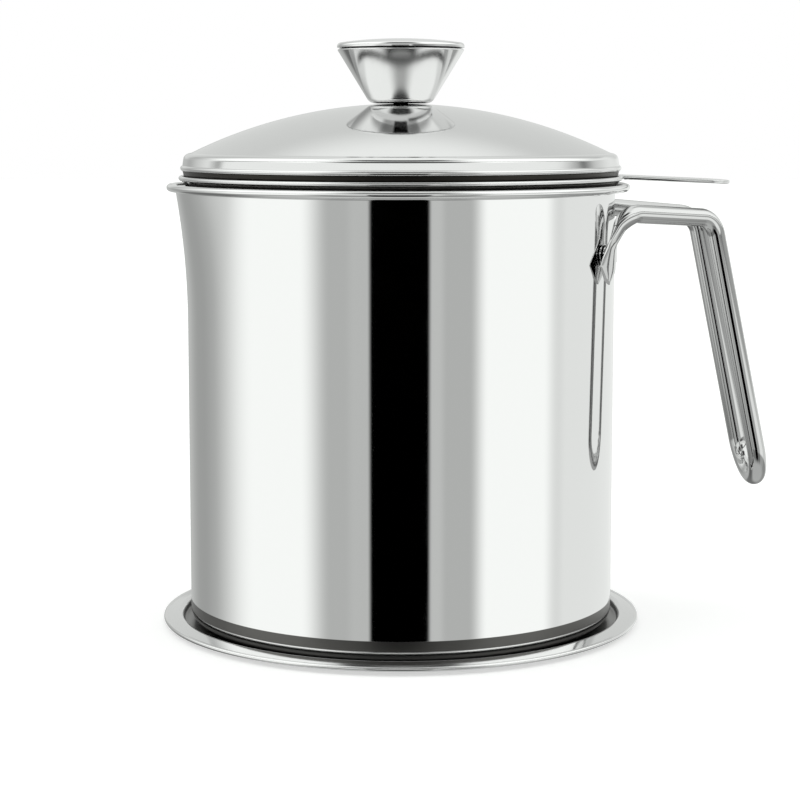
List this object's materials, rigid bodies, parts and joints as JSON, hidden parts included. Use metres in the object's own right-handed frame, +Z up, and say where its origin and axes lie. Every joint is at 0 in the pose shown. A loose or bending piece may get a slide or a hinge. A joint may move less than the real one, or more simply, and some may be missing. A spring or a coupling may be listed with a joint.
{
  "type": "strainer fat container",
  "caption": "Lidded steel pot with a side handle, hanging strainer and drip tray, for straining and keeping kitchen fat.",
  "frame": {"origin": "on the table under the pot's axis, at the centre of the tray's flat underside", "axes": "+Z up along the pot's axis, +X from the axis to the handle, the pour lip at -X"},
  "size_m": [0.1686, 0.132, 0.16],
  "materials": {
    "mirror_steel": "mirror-polished bare stainless sheet",
    "rod_steel": "polished bare stainless rod",
    "knob_steel": "polished spun stainless sheet with faint turning marks",
    "lid_steel": "softly polished pressed stainless sheet",
    "tray_steel": "polished pressed stainless sheet",
    "strainer_steel": "satin pressed stainless sheet",
    "wire_steel": "woven stainless wire",
    "fastener_steel": "plain machine-made stainless fastener"
  },
  "bodies": {
    "tray": {"base_tray": "tray_steel"},
    "pot": {"pot_body": "mirror_steel", "handle_bracket": "mirror_steel", "handle_rod": "rod_steel"},
    "strainer": {"strainer_rim": "strainer_steel", "strainer_mesh": "wire_steel", "strainer_clamp_ring": "strainer_steel", "strainer_tab": "strainer_steel"},
    "lid": {"lid_shell": "lid_steel", "knob_cone": "knob_steel", "knob_cap": "knob_steel", "knob_insert": "fastener_steel", "knob_washer": "fastener_steel", "knob_screw": "fastener_steel"}
  },
  "joints": [
    {"name": "pot_lift", "type": "slide", "parent": "tray", "child": "pot", "axis": [0, 0, 1], "range_m": [0, 0.04]},
    {"name": "strainer_lift", "type": "slide", "parent": "pot", "child": "strainer", "axis": [0, 0, 1], "range_m": [0, 0.05]},
    {"name": "lid_lift", "type": "slide", "parent": "strainer", "child": "lid", "axis": [0, 0, 1], "range_m": [0, 0.05]}
  ]
}
